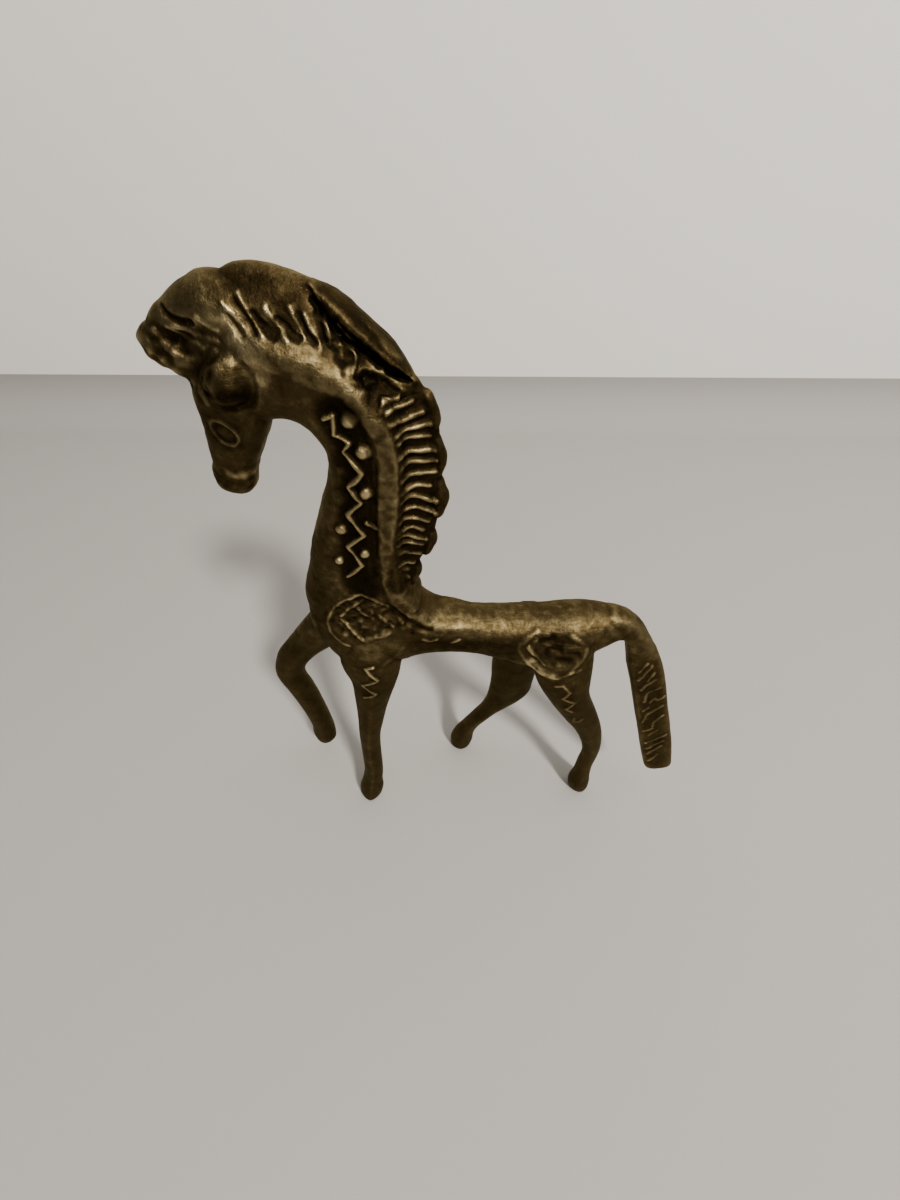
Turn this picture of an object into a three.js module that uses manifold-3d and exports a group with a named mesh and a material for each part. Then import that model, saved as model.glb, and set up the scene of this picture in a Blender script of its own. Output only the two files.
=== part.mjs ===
// Small bronze souvenir horse, cast in one piece: it walks to -X with its head bowed,
// three hooves on the ground, the right foreleg raised and a free hanging tail.
// Millimetres, +Z up, +Y is the horse's right side. The middle plane of the casting is y = 0
// while it is modelled; at the end the solid is moved to the middle of its own box, feet on z = 0.

import * as THREE from 'three';
import { mergeVertices } from 'three/addons/utils/BufferGeometryUtils.js';
import Module from 'manifold-3d';

// Driving dimensions
const BARREL_THICK = 7.8;
const SHOULDER_THICK = 10.8;
const HIP_THICK = 9.2;
const NECK_THICK = 7.8;
const HEAD_THICK = 6.8;
const MUZZLE_THICK = 4.8;
const MANE_THICK = 4.2;
const TAIL_WIDTH = 5.8;
const TAIL_THICK = 3.8;
const GROUND = 0;

// Raised work: how wide a line is at its foot, how far it stands up, how deep its root goes
const LINE_WIDTH = 1.2;
const LINE_HEIGHT = 0.5;
const LINE_ROOT = 0.5;
const DOT_RADIUS = 0.75;
const DOT_SIDES = 6;
const RIB = { width: 1.1, height: 0.4 };
const EYE_RIM = { width: 0.6, height: 0.3, steps: 10 };
const HIP_RIM = { width: 1.4 };

const LEFT = -1;
const RIGHT = 1;

// A section of a limb or of the neck is an oval that spans from one edge of the outline to the other.
function between(frontX, frontZ, backX, backZ, thick, y = 0) {
  return {
    front: new THREE.Vector3(frontX, y, frontZ),
    back: new THREE.Vector3(backX, y, backZ),
    thick,
  };
}

// The same section given by its middle, its width and the lean of that width from level, in degrees.
function round(x, y, z, width, thick, lean = 0) {
  const angle = THREE.MathUtils.degToRad(lean);
  const dx = (Math.cos(angle) * width) / 2;
  const dz = (Math.sin(angle) * width) / 2;
  return between(x - dx, z - dz, x + dx, z + dz, thick, y);
}

// A closed body strung through its sections, with rounded ends.
function loft(sections, { sides = 14, step = 2.6, corner = 2, taper = 0, bulge = 1 } = {}) {
  const front = new THREE.CatmullRomCurve3(sections.map((s) => s.front), false, 'catmullrom', 0.5);
  const back = new THREE.CatmullRomCurve3(sections.map((s) => s.back), false, 'catmullrom', 0.5);
  const sizes = new THREE.CatmullRomCurve3(
    sections.map((s) => new THREE.Vector3(s.thick, 0, 0)), false, 'catmullrom', 0.5);
  const spans = sections.length - 1;

  const oval = (t) => {
    const a = front.getPoint(t);
    const b = back.getPoint(t);
    return { middle: a.clone().add(b).multiplyScalar(0.5), half: b.sub(a).multiplyScalar(0.5),
      thick: sizes.getPoint(t).x / 2 };
  };

  const ovals = [];
  for (let span = 0; span < spans; span += 1) {
    const from = oval(span / spans).middle;
    const to = oval((span + 1) / spans).middle;
    const cuts = Math.max(1, Math.round(from.distanceTo(to) / step));
    for (let cut = 0; cut < cuts; cut += 1) {
      ovals.push(oval((span + cut / cuts) / spans));
    }
  }
  ovals.push(oval(1));

  const closing = (end, inner) => {
    const outward = end.middle.clone().sub(inner.middle).normalize();
    const reach = Math.min(end.half.length(), end.thick) * bulge;
    return [30, 60].map((degrees) => {
      const angle = THREE.MathUtils.degToRad(degrees);
      return {
        middle: end.middle.clone().addScaledVector(outward, reach * Math.sin(angle)),
        half: end.half.clone().multiplyScalar(Math.cos(angle)),
        thick: end.thick * Math.cos(angle),
        tip: end.middle.clone().addScaledVector(outward, reach),
      };
    });
  };
  const head = closing(ovals[0], ovals[1]).reverse();
  const tail = closing(ovals[ovals.length - 1], ovals[ovals.length - 2]);
  const rings = [...head, ...ovals, ...tail];

  const positions = [];
  rings.forEach(({ middle, half, thick }) => {
    for (let side = 0; side < sides; side += 1) {
      const angle = (2 * Math.PI * side) / sides;
      const along = Math.sign(Math.cos(angle)) * Math.abs(Math.cos(angle)) ** (2 / corner);
      const across = Math.sign(Math.sin(angle)) * Math.abs(Math.sin(angle)) ** (2 / corner);
      const point = middle.clone().addScaledVector(half, along);
      point.y += thick * across * (1 - taper * along);
      positions.push(point.x, point.y, point.z);
    }
  });
  const firstTip = positions.length / 3;
  positions.push(...head[0].tip.toArray(), ...tail[0].tip.toArray());

  const faces = [];
  for (let ring = 0; ring < rings.length - 1; ring += 1) {
    for (let side = 0; side < sides; side += 1) {
      const next = (side + 1) % sides;
      const a = ring * sides + side;
      const b = ring * sides + next;
      faces.push(a, b, a + sides, b, b + sides, a + sides);
    }
  }
  const last = (rings.length - 1) * sides;
  for (let side = 0; side < sides; side += 1) {
    const next = (side + 1) % sides;
    faces.push(firstTip, next, side);
    faces.push(firstTip + 1, last + side, last + next);
  }
  return geometryOf(positions, faces);
}

function geometryOf(positions, faces) {
  const geometry = new THREE.BufferGeometry();
  geometry.setAttribute('position', new THREE.Float32BufferAttribute(positions, 3));
  geometry.setIndex(faces);
  return geometry;
}

function signedVolume(geometry) {
  const points = geometry.getAttribute('position');
  const index = geometry.getIndex();
  const [a, b, c] = [new THREE.Vector3(), new THREE.Vector3(), new THREE.Vector3()];
  let volume = 0;
  for (let i = 0; i < index.count; i += 3) {
    a.fromBufferAttribute(points, index.getX(i));
    b.fromBufferAttribute(points, index.getX(i + 1));
    c.fromBufferAttribute(points, index.getX(i + 2));
    volume += a.dot(b.cross(c)) / 6;
  }
  return volume;
}

const wasm = await Module();
wasm.setup();

// A closed geometry as a solid, with its faces turned outwards.
function solidOf(geometry) {
  const source = geometry.clone();
  Object.keys(source.attributes).filter((name) => name !== 'position')
    .forEach((name) => source.deleteAttribute(name));
  const merged = mergeVertices(source, 1e-5);
  const triVerts = new Uint32Array(merged.getIndex().array);
  if (signedVolume(merged) < 0) {
    for (let i = 0; i < triVerts.length; i += 3) {
      [triVerts[i], triVerts[i + 1]] = [triVerts[i + 1], triVerts[i]];
    }
  }
  const vertProperties = new Float32Array(merged.getAttribute('position').array);
  return new wasm.Manifold(new wasm.Mesh({ numProp: 3, vertProperties, triVerts }));
}

function geometryFrom(solid) {
  const mesh = solid.getMesh();
  return geometryOf(Array.from(mesh.vertProperties), Array.from(mesh.triVerts));
}

const joined = (solids) => solids.reduce((whole, solid) => whole.add(solid));

// The neck, from inside the chest up over its bend to the cheek
const neck = loft([
  between(-21.0, 57.0, -8.0, 56.0, 9.0),
  between(-21.3, 65.0, -6.4, 66.5, 9.6),
  between(-19.6, 70.7, -7.3, 71.8, 8.6),
  between(-17.9, 76.0, -6.6, 77.3, 8.0),
  between(-16.0, 80.9, -5.9, 82.6, NECK_THICK),
  between(-14.3, 84.8, -5.5, 86.8, NECK_THICK),
  between(-13.6, 88.2, -5.4, 91.0, NECK_THICK),
  between(-14.8, 91.0, -6.4, 95.8, NECK_THICK),
  between(-16.8, 92.2, -9.4, 99.4, NECK_THICK),
  between(-18.6, 92.0, -13.4, 101.2, 7.6),
  between(-20.6, 92.0, -18.2, 101.8, 7.2),
  between(-22.4, 93.4, -22.4, 101.2, 6.4),
], { sides: 14, corner: 2.2, step: 3.2, bulge: 0.6 });

// The round ridge that runs up the back of the neck, between the side of the neck and the mane
const ridge = loft([
  between(-8.0, 63.5, -5.0, 64.6, 7.6),
  between(-9.3, 68.7, -6.6, 69.0, 8.6),
  between(-8.9, 76.2, -6.3, 77.0, 8.4),
  between(-8.0, 83.8, -5.5, 84.2, 8.4),
  between(-7.5, 89.6, -5.0, 89.8, 8.4),
  between(-8.5, 93.0, -5.6, 94.2, 8.4),
  between(-10.6, 96.6, -8.0, 98.6, 8.4),
  between(-13.6, 98.2, -12.6, 100.8, 8.4),
  between(-17.2, 98.8, -17.4, 101.6, 7.6),
], { sides: 8, step: 4 });

// The head hangs from the poll to a blunt muzzle.
const head = loft([
  between(-24.2, 99.2, -18.0, 99.0, 6.2),
  between(-25.4, 95.4, -18.2, 94.8, 7.2),
  between(-25.9, 92.0, -18.9, 91.6, HEAD_THICK),
  between(-26.2, 89.8, -20.0, 89.5, 6.2),
  between(-26.5, 87.6, -21.4, 87.3, 5.2),
  between(-27.3, 85.9, -22.2, 85.6, MUZZLE_THICK),
  between(-27.2, 84.9, -22.7, 84.3, MUZZLE_THICK),
], { sides: 12, step: 2.4, bulge: 0.85 });

// The lock on the poll and the tuft that juts out over the forehead
const pollLock = loft([
  between(-16.4, 99.4, -16.2, 105.0, 5.2),
  between(-20.4, 99.4, -20.4, 105.1, 5.8),
  between(-23.8, 98.8, -23.4, 104.1, 5.2),
  between(-26.3, 98.8, -25.5, 102.9, 4.2),
], { sides: 10, step: 2.6 });
const tuft = loft([
  between(-21.6, 95.3, -21.6, 100.6, 5.6),
  between(-25.2, 95.8, -24.8, 101.4, 5.4),
  between(-27.3, 97.1, -26.5, 101.2, 4.4),
], { sides: 10, step: 2.6 });

// The mane: a thin crest from the poll to the withers, scalloped down the back of the neck
const MANE_SECTIONS = [
  [-18.6, 100.0, -19.0, 104.9],
  [-16.8, 100.0, -16.8, 105.6],
  [-14.0, 99.4, -13.7, 105.0],
  [-11.5, 98.2, -10.6, 103.7],
  [-9.6, 96.6, -7.3, 101.1],
  [-8.2, 94.2, -4.0, 97.4],
  [-7.4, 91.4, -1.5, 93.0],
  [-7.4, 87.6, -0.9, 88.0],
  [-7.8, 84.0, -0.9, 83.8],
  [-8.4, 80.0, -1.4, 79.4],
  [-9.0, 76.0, -2.4, 75.0],
  [-9.8, 72.0, -4.2, 71.0],
  [-10.0, 68.6, -5.4, 67.4],
];
const mane = loft(
  MANE_SECTIONS.map(([inX, inZ, outX, outZ]) => between(inX, inZ, outX, outZ, MANE_THICK)),
  { sides: 8, step: 3.4, taper: 0.35, bulge: 0.5 });

// Five lobes along the outer edge of the mane
const LOBE_PITCH = 6.2;
const LOBE_LENGTH = 5.6;
const LOBE_EDGE = [[-2.1, 91.8], [-1.4, 87.2], [-1.2, 81.8], [-2.8, 75.4], [-5.0, 69.8]];
const lobes = LOBE_EDGE.map(([x, z]) => loft([
  between(x - 1.4, z + LOBE_LENGTH / 2 - 0.5, x + 0.6, z + LOBE_LENGTH / 2 - 0.5, 2.0),
  between(x - 1.4, z, x + 1.2, z, 2.4),
  between(x - 1.4, z - LOBE_LENGTH / 2 + 0.7, x + 0.5, z - LOBE_LENGTH / 2 + 0.7, 2.0),
], { sides: 6, step: LOBE_PITCH / 2 }));

// The smooth leaf that lies over the crest
const leaf = loft([
  between(-10.9, 103.8, -10.7, 104.0, 3.4),
  between(-10.2, 101.8, -8.8, 102.8, 4.4),
  between(-9.0, 100.1, -6.8, 101.0, 4.8),
  between(-7.0, 98.5, -5.0, 98.9, 4.4),
  between(-4.7, 97.0, -4.2, 97.2, 3.2),
], { sides: 8, step: 3.2, bulge: 0.7 });

const trunk = loft([
  between(-20.0, 53.6, -19.6, 65.0, 7.0),
  between(-17.4, 49.3, -17.2, 67.2, 9.8),
  between(-12.4, 49.6, -12.6, 67.4, SHOULDER_THICK),
  between(-7.2, 50.4, -7.4, 65.2, 9.8),
  between(-2.6, 51.6, -2.6, 61.8, 8.4),
  between(3.4, 51.4, 3.4, 60.3, BARREL_THICK),
  between(9.0, 50.0, 9.0, 60.0, 8.2),
  between(14.4, 48.5, 14.4, 60.1, HIP_THICK),
  between(19.6, 49.8, 19.6, 61.0, 9.0),
  between(24.0, 52.4, 24.4, 60.9, 6.4),
], { sides: 12, step: 4, bulge: 0.6 });

// The tail leaves the rump in a bend, then hangs free and swings a little to the left.
const tail = loft([
  between(22.4, 54.8, 22.6, 61.2, 5.2),
  between(25.8, 54.9, 26.6, 60.6, 4.4),
  between(27.8, 55.2, 29.5, 59.0, 4.2, -0.2),
  between(29.2, 52.8, 32.2, 55.8, 4.0, -0.6),
  round(33.0, -1.3, 49.6, TAIL_WIDTH - 0.3, TAIL_THICK, 24),
  round(35.3, -2.1, 44.0, TAIL_WIDTH, TAIL_THICK, 22),
  round(37.8, -3.1, 37.0, TAIL_WIDTH + 0.1, TAIL_THICK, 21),
  round(40.2, -4.0, 30.5, TAIL_WIDTH + 0.2, TAIL_THICK, 20),
  round(42.7, -4.9, 23.5, TAIL_WIDTH + 0.2, TAIL_THICK, 20),
  round(44.6, -5.6, 17.8, TAIL_WIDTH - 0.2, TAIL_THICK - 0.2, 18),
], { sides: 10, step: 4, corner: 2.4, bulge: 1.1 });

const leftForeleg = loft([
  round(-12.6, -2.6, 58.0, 10.4, 6.4),
  round(-13.1, -3.6, 51.0, 10.2, 6.0),
  round(-13.2, -4.0, 46.0, 7.9, 5.6),
  round(-14.2, -4.4, 40.0, 6.2, 5.0),
  round(-15.3, -4.9, 33.0, 4.9, 4.4),
  round(-16.3, -5.3, 26.0, 4.2, 4.1),
  round(-17.1, -6.1, 13.0, 4.2, 4.0),
  round(-17.9, -6.5, 7.8, 4.6, 4.4),
  round(-18.5, -6.8, 4.2, 5.5, 5.2),
  round(-19.0, -7.0, 1.0, 5.2, 5.2),
], { sides: 10, step: 4, bulge: 0.9 });

const leftHindleg = loft([
  round(17.9, -2.8, 56.0, 10.2, 6.0),
  round(19.2, -4.0, 48.8, 9.4, 6.0, 10),
  round(21.4, -4.2, 42.0, 7.2, 5.6, 18),
  round(24.4, -4.3, 36.0, 6.2, 5.0, 20),
  round(27.1, -4.3, 30.6, 5.1, 4.4, 18),
  round(29.1, -4.4, 25.0, 4.2, 3.9, 12),
  round(30.2, -4.4, 19.5, 3.6, 3.6, 4),
  round(30.4, -4.4, 13.0, 3.5, 3.6),
  round(30.7, -4.5, 7.6, 4.0, 4.0),
  round(30.9, -4.5, 3.8, 5.0, 4.8),
  round(31.3, -4.5, 1.0, 4.8, 4.8),
], { sides: 10, step: 4, bulge: 0.9 });

const rightHindleg = loft([
  round(14.0, 2.6, 54.0, 11.0, 6.0),
  round(12.6, 3.6, 42.0, 9.2, 5.8),
  round(12.5, 4.0, 34.0, 8.6, 5.4, 4),
  round(12.1, 4.5, 27.4, 8.8, 5.0, 14),
  round(9.1, 4.9, 21.0, 6.2, 4.6, 26),
  round(6.5, 5.2, 15.6, 5.2, 4.3, 26),
  round(4.4, 5.5, 10.6, 5.0, 4.2, 20),
  round(3.2, 5.7, 6.8, 5.2, 4.6, 8),
  round(2.8, 5.8, 3.6, 5.6, 4.8),
  round(2.6, 5.8, 1.0, 5.2, 4.6),
], { sides: 10, step: 4, bulge: 0.9 });

// Raised: the thigh reaches forward, the cannon hangs straight down and the hoof is off the ground.
const rightForeleg = loft([
  round(-16.6, 2.2, 58.0, 9.0, 6.0, -30),
  round(-22.2, 3.0, 51.4, 7.6, 5.6, -36),
  round(-26.8, 3.5, 46.2, 6.2, 5.2, -36),
  round(-30.5, 3.7, 41.2, 5.8, 5.0, -32),
  round(-32.1, 3.8, 36.0, 5.8, 4.9, -8),
  round(-31.3, 3.8, 30.0, 5.6, 4.7, 5),
  round(-30.6, 3.9, 22.0, 5.1, 4.6, 4),
  round(-30.4, 4.0, 14.0, 5.0, 4.6, 2),
  round(-30.8, 4.1, 9.8, 5.4, 4.8),
  round(-30.9, 4.1, 7.4, 5.0, 4.7),
], { sides: 10, step: 4, bulge: 0.9 });

// The round ear at each side of the poll
const ears = [LEFT, RIGHT].map((side) => loft([
  between(-20.6, 99.0, -18.8, 98.8, 2.6, side * 3.0),
  between(-22.3, 97.6, -18.2, 97.2, 4.0, side * 3.2),
  between(-22.3, 95.6, -18.8, 95.2, 3.8, side * 3.2),
], { sides: 8, step: 2 }));

const limbs = [neck, ridge, head, pollLock, tuft, mane, ...lobes, leaf, trunk, tail,
  leftForeleg, leftHindleg, rightHindleg, rightForeleg, ...ears];
const plainHorse = joined(limbs.map(solidOf));

// Everything under the ground plane comes off, which leaves three flat hooves to stand on.
const slab = new THREE.BoxGeometry(200, 100, 20).translate(0, 0, GROUND - 10);
const standingHorse = plainHorse.subtract(solidOf(slab));

// Raised work is laid on the skin: this finds how far out the skin is, seen square from one side.
const bothFaces = new THREE.MeshBasicMaterial({ side: THREE.DoubleSide });
const skin = new THREE.Mesh(geometryFrom(standingHorse), bothFaces);
const probe = new THREE.Raycaster();
function skinAt(x, z, side) {
  probe.set(new THREE.Vector3(x, side * 50, z), new THREE.Vector3(0, -side, 0));
  const hits = probe.intersectObject(skin);
  return hits.length ? hits[0].point.y : null;
}

// A raised line through points of the outline plane, as a bar of three corners with its crest outwards
function line(points, side, { width = LINE_WIDTH, height = LINE_HEIGHT, closed = false } = {}) {
  const onSkin = points.map(([x, z]) => ({ x, z, y: skinAt(x, z, side) })).filter((p) => p.y !== null);
  const count = onSkin.length;
  const at = (i) => onSkin[closed ? (i + count) % count : Math.min(Math.max(i, 0), count - 1)];
  const positions = [];
  onSkin.forEach((p, i) => {
    const before = new THREE.Vector2(p.x - at(i - 1).x, p.z - at(i - 1).z).normalize();
    const after = new THREE.Vector2(at(i + 1).x - p.x, at(i + 1).z - p.z).normalize();
    const along = before.clone().add(after).normalize();
    const mitre = 1 / Math.max(0.6, Math.abs(along.dot(after.lengthSq() ? after : before)));
    const foot = (width / 2) * mitre;
    const [nx, nz] = [-along.y, along.x];
    const low = p.y - side * LINE_ROOT;
    positions.push(p.x + nx * foot, low, p.z + nz * foot, p.x, p.y + side * height, p.z,
      p.x - nx * foot, low, p.z - nz * foot);
  });
  const faces = [];
  for (let i = 0; i < (closed ? count : count - 1); i += 1) {
    const next = (i + 1) % count;
    for (let corner = 0; corner < 3; corner += 1) {
      const a = i * 3 + corner;
      const b = i * 3 + ((corner + 1) % 3);
      const c = next * 3 + corner;
      const d = next * 3 + ((corner + 1) % 3);
      faces.push(a, b, c, b, d, c);
    }
  }
  if (!closed) {
    const end = (count - 1) * 3;
    faces.push(0, 2, 1, end, end + 1, end + 2);
  }
  return solidOf(geometryOf(positions, faces));
}

// A raised ring, round or oval, with its long axis leaning from level
function ring(x, z, radiusAlong, radiusAcross, lean, side, { steps = 16, ...options } = {}) {
  const tilt = THREE.MathUtils.degToRad(lean);
  const points = Array.from({ length: steps }, (unused, i) => {
    const angle = (2 * Math.PI * i) / steps;
    const u = Math.cos(angle) * radiusAlong;
    const v = Math.sin(angle) * radiusAcross;
    return [x + u * Math.cos(tilt) - v * Math.sin(tilt), z + u * Math.sin(tilt) + v * Math.cos(tilt)];
  });
  return line(points, side, { ...options, closed: true });
}

// A raised round dot: a short stub with a small flat top, sunk into the skin
function dot(x, z, side) {
  const stub = new THREE.CylinderGeometry(DOT_RADIUS / 2, DOT_RADIUS, LINE_ROOT + LINE_HEIGHT, DOT_SIDES);
  stub.rotateX((side * Math.PI) / 2);
  const y = skinAt(x, z, side) + (side * (LINE_HEIGHT - LINE_ROOT)) / 2;
  return solidOf(stub.translate(x, y, z));
}

// Zigzag down the side of the neck, with a dot in most of its bays
const NECK_ZIGZAG = [[-11.6, 93.6], [-11.5, 92.2], [-10.4, 91.2], [-11.1, 89.9], [-9.4, 87.5],
  [-11.4, 85.6], [-10.0, 83.4], [-11.9, 81.9], [-10.9, 78.9], [-12.8, 77.0], [-11.5, 73.7], [-13.6, 71.8]];
const NECK_DOTS = [[-9.7, 93.6], [-8.9, 90.3], [-9.2, 85.2], [-9.6, 80.4], [-10.6, 75.9],
  [-11.8, 87.3], [-12.4, 84.1], [-13.3, 79.6], [-14.2, 74.3]];

// Short zigzags on the upper legs
const FORELEG_ZIGZAG = [[-13.6, 53.0], [-12.2, 53.2], [-13.0, 51.4], [-11.8, 49.6], [-14.2, 48.4],
  [-12.8, 45.6], [-14.9, 43.8]];
const HINDLEG_ZIGZAG = [[18.4, 47.2], [20.8, 45.2], [19.8, 42.4], [22.4, 40.2], [21.8, 37.8], [24.2, 32.8]];

// Raised strokes of the mane, each from the ridge outwards: first over the bend, then down the neck
const BEND_STROKES = [[-18.0, 100.9, -19.0, 103.0], [-16.9, 100.9, -17.6, 103.8], [-14.5, 100.4, -15.8, 103.0],
  [-13.0, 100.3, -13.7, 102.8], [-11.5, 100.1, -12.3, 102.6], [-10.4, 99.8, -11.0, 102.2],
  [-8.8, 97.8, -9.4, 99.6], [-7.0, 96.4, -7.6, 98.6]];
const RIB_COUNT = 15;
const RIB_FIRST = { inner: [-6.3, 94.0], outer: [-3.4, 94.0] };
const RIB_LAST = { inner: [-7.4, 70.9], outer: [-5.2, 70.2] };
const RIB_BELLY = 1.3;

function maneRibs(side) {
  const mix = THREE.MathUtils.lerp;
  return Array.from({ length: RIB_COUNT }, (unused, i) => {
    const t = i / (RIB_COUNT - 1);
    const belly = RIB_BELLY * Math.sin(Math.PI * t);
    const inner = [mix(RIB_FIRST.inner[0], RIB_LAST.inner[0], t) + belly * 0.9,
      mix(RIB_FIRST.inner[1], RIB_LAST.inner[1], t)];
    const outer = [mix(RIB_FIRST.outer[0], RIB_LAST.outer[0], t) + belly * 1.7,
      mix(RIB_FIRST.outer[1], RIB_LAST.outer[1], t)];
    return line([inner, outer], side, RIB);
  });
}

// Slanting strokes down the side of the tail
const TAIL_STROKES = 9;
function tailStrokes(side) {
  return Array.from({ length: TAIL_STROKES }, (unused, i) => {
    const t = i / (TAIL_STROKES - 1);
    const x = THREE.MathUtils.lerp(32.8, 44.2, t);
    const z = THREE.MathUtils.lerp(50.5, 19.5, t);
    return line([[x - 1.2, z - 1.4], [x + 1.3, z + 1.5]], side, RIB);
  });
}

// Crossed strokes inside the ring on the shoulder
const SHOULDER_STROKES = [[[-15.4, 64.8], [-11.6, 68.0]], [[-13.0, 66.4], [-11.4, 64.4], [-9.6, 65.6]],
  [[-15.4, 63.6], [-12.6, 60.4]], [[-12.0, 61.6], [-9.2, 63.0]]];

// Work that both sides have: the neck zigzag, the mane, the eye, a round on the shoulder, an oval on the hip
function raisedWork(side) {
  return [
    line(NECK_ZIGZAG, side),
    ...BEND_STROKES.map(([ax, az, bx, bz]) => line([[ax, az], [bx, bz]], side, RIB)),
    ...maneRibs(side),
    ring(-22.9, 91.3, 1.6, 1.0, -54, side, EYE_RIM),
    ring(-12.6, 64.2, 5.0, 5.0, 0, side),
    ring(16.4, 55.0, 5.0, 3.9, -20, side, HIP_RIM),
  ];
}

// The left side shows best and has the most work on it; the right side repeats the main lines.
const leftWork = [
  ...raisedWork(LEFT),
  ...NECK_DOTS.map(([x, z]) => dot(x, z, LEFT)),
  ...SHOULDER_STROKES.map((points) => line(points, LEFT)),
  ...tailStrokes(LEFT),
  line(FORELEG_ZIGZAG, LEFT),
  line(HINDLEG_ZIGZAG, LEFT),
];
const carved = joined([standingHorse, ...leftWork, ...raisedWork(RIGHT)]);

const horseGeometry = geometryFrom(carved);
horseGeometry.computeBoundingBox();
const box = horseGeometry.boundingBox;
const middle = box.getCenter(new THREE.Vector3());
horseGeometry.translate(-middle.x, -middle.y, -box.min.z);

const agedBronze = new THREE.MeshStandardMaterial({ color: 0x7a6232, metalness: 1, roughness: 0.42 });
const horse = new THREE.Mesh(horseGeometry, agedBronze);
horse.name = 'horse';

const figurine = new THREE.Group();
figurine.add(horse);
export default figurine;
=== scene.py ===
"""A small cast bronze horse, walking with its head bowed, on a plain pale floor."""

import math

import bpy
import numpy as np
from mathutils import Matrix, Vector


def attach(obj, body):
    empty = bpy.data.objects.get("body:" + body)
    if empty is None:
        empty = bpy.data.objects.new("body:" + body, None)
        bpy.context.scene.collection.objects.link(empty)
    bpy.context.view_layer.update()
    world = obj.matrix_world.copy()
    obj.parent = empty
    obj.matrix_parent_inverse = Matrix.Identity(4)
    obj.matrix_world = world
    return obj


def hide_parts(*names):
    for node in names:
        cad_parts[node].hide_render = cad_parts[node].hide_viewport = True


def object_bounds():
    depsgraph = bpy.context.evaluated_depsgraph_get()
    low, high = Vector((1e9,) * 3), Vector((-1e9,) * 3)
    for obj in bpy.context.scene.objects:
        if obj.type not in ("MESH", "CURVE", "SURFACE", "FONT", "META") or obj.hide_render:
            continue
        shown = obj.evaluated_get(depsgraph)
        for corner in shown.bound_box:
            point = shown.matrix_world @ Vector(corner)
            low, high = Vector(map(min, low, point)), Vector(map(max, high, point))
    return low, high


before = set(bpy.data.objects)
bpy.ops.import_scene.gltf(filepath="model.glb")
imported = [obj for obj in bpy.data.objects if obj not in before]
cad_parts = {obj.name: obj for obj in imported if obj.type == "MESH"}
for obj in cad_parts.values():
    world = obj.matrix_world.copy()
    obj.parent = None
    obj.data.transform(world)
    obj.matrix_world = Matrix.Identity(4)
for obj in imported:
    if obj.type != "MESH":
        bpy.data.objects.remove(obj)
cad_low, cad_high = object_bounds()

# The casting is modelled in millimetres in its maker's frame: the middle plane is y = 0, the head is
# towards -X, the horse's left side faces -Y and the hooves stand on z = 0.
CAST_HEIGHT = 105.6
MM = (cad_high.z - cad_low.z) / CAST_HEIGHT
BOX_MIDDLE = np.array([6.15, -0.70, 0.0])

BARREL_THICK = 7.8
SHOULDER_THICK = 10.8
HIP_THICK = 9.2
NECK_THICK = 7.8
HEAD_THICK = 6.8
MUZZLE_THICK = 4.8
MANE_THICK = 4.2
TAIL_WIDTH = 5.8
TAIL_THICK = 3.8

LEFT, RIGHT = -1, 1

# How finely the skin is cut: the grain of the first skin, and the triangles that are kept of it
SKIN_GRAIN = 0.14
SKIN_TRIANGLES = 196_000
FILLET_ROUNDS = 14

# The unevenness of the casting: the seed, the size across and the height of each kind of lump
CAST_LUMPS = [(11, 3.4, 0.08), (12, 1.5, 0.05), (13, 0.75, 0.035)]


# Sections and lofts

def between(front_x, front_z, back_x, back_z, thick, y=0.0):
    """A section that spans from one edge of the side outline to the other."""
    return front_x, front_z, back_x, back_z, thick, y


def around(x, y, z, width, thick, lean=0.0):
    """The same section given by its middle, its width and the lean of that width from level."""
    dx = math.cos(math.radians(lean)) * width / 2
    dz = math.sin(math.radians(lean)) * width / 2
    return x - dx, z - dz, x + dx, z + dz, thick, y


def strung(stations, t):
    """A smooth curve strung through the stations, read at t, where station number n is at t = n."""
    rows = np.asarray(stations, float)
    rows = np.vstack([2 * rows[0] - rows[1], rows, 2 * rows[-1] - rows[-2]])
    t = np.atleast_1d(np.asarray(t, float))
    span = np.clip(np.floor(t).astype(int), 0, len(rows) - 4)
    f = (t - span)[:, None]
    a, b, c, d = rows[span], rows[span + 1], rows[span + 2], rows[span + 3]
    return b + 0.5 * f * ((c - a) + f * ((2 * a - 5 * b + 4 * c - d) + f * (3 * (b - c) + d - a)))


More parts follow.
